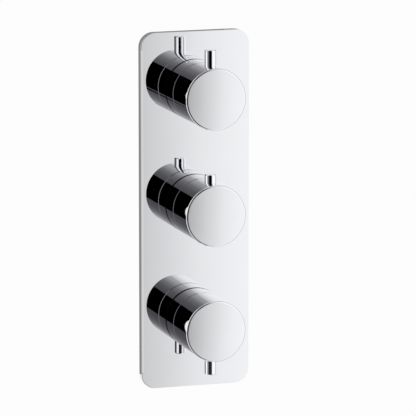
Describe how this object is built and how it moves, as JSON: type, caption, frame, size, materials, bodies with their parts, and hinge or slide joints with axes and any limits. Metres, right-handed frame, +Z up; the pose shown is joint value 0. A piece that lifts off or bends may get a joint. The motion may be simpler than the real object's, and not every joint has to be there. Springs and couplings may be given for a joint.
{
  "type": "thermostatic shower valve",
  "caption": "Concealed shower valve: chrome plate with cylinder knobs on a brass body, flow controls above and below a temperature control.",
  "frame": {"origin": "centre of the four wall screws, in the plane where the bracket's back rests on the stud or masonry", "axes": "+X to the right of a person facing the valve, +Y into the wall, +Z up; the trim stands at -Y"},
  "size_m": [0.1, 0.135, 0.32],
  "materials": {
    "polished_chrome": "mirror-polished chrome plate",
    "cast_brass": "sand-cast and machined, satin",
    "turned_brass": "turned, bright",
    "bracket_steel": "zinc-plated, satin",
    "spring_steel": "drawn stainless wire",
    "black_rubber": "matt",
    "grey_foam": "closed-cell foam, matt",
    "white_plastic": "moulded acetal, satin",
    "grey_plastic": "moulded, satin",
    "disc_ceramic": "lapped alumina, satin"
  },
  "bodies": {
    "fixed_body": {"face_plate": "polished_chrome", "plate_gasket": "grey_foam", "collar_seal_top": "black_rubber", "collar_top": "polished_chrome", "glide_ring_top": "grey_plastic", "stop_ring_top": "grey_plastic", "sleeve_top": "turned_brass", "housing_seal_top": "black_rubber", "collar_seal_middle": "black_rubber", "collar_middle": "polished_chrome", "glide_ring_middle": "grey_plastic", "stop_ring_middle": "grey_plastic", "sleeve_middle": "turned_brass", "housing_seal_middle": "black_rubber", "collar_seal_bottom": "black_rubber", "collar_bottom": "polished_chrome", "glide_ring_bottom": "grey_plastic", "stop_ring_bottom": "grey_plastic", "sleeve_bottom": "turned_brass", "housing_seal_bottom": "black_rubber", "flow_housing_top": "turned_brass", "fixed_disc_top": "disc_ceramic", "base_seal_top": "black_rubber", "flow_housing_bottom": "turned_brass", "fixed_disc_bottom": "disc_ceramic", "base_seal_bottom": "black_rubber", "thermostat_housing": "turned_brass", "return_spring": "spring_steel", "spring_retainer": "turned_brass", "valve_body": "cast_brass", "gallery_plug": "turned_brass", "wall_bracket": "bracket_steel", "bracket_screws": "bracket_steel", "hot_inlet_union": "turned_brass", "cold_inlet_union": "turned_brass", "top_outlet_union": "turned_brass", "bottom_outlet_union": "turned_brass", "hot_inlet_filter": "spring_steel", "cold_inlet_filter": "spring_steel"},
    "top_control": {"knob_top": "polished_chrome", "lever_pin_top": "polished_chrome", "grub_screw_top": "spring_steel", "spline_adapter_top": "white_plastic", "flow_spindle_top": "turned_brass", "moving_disc_top": "disc_ceramic"},
    "temperature_control": {"knob_middle": "polished_chrome", "lever_pin_middle": "polished_chrome", "grub_screw_middle": "spring_steel", "spline_adapter_middle": "white_plastic", "thermostat_spindle": "turned_brass"},
    "bottom_control": {"knob_bottom": "polished_chrome", "lever_pin_bottom": "polished_chrome", "grub_screw_bottom": "spring_steel", "spline_adapter_bottom": "white_plastic", "flow_spindle_bottom": "turned_brass", "moving_disc_bottom": "disc_ceramic"},
    "mixing_element": {"element_carrier": "white_plastic", "wax_element": "turned_brass", "mixing_shuttle": "grey_plastic"}
  },
  "joints": [
    {"name": "top_flow_turn", "type": "hinge", "parent": "fixed_body", "child": "top_control", "pos_m": [0, -0.1, 0.108], "axis": [0, -1, 0], "range_deg": [0, 90]},
    {"name": "temperature_turn", "type": "hinge", "parent": "fixed_body", "child": "temperature_control", "pos_m": [0, -0.1, 0.005], "axis": [0, -1, 0], "range_deg": [-180, 90]},
    {"name": "bottom_flow_turn", "type": "hinge", "parent": "fixed_body", "child": "bottom_control", "pos_m": [0, -0.1, -0.098], "axis": [0, 1, 0], "range_deg": [0, 90]},
    {"name": "mixing_slide", "type": "slide", "parent": "fixed_body", "child": "mixing_element", "axis": [0, 1, 0], "range_m": [-0.002, 0.001], "deforming": ["return_spring"]}
  ],
  "couplings": [
    {"joint": "mixing_slide", "follows": "temperature_turn", "m_per_rad": 0.0006366}
  ]
}
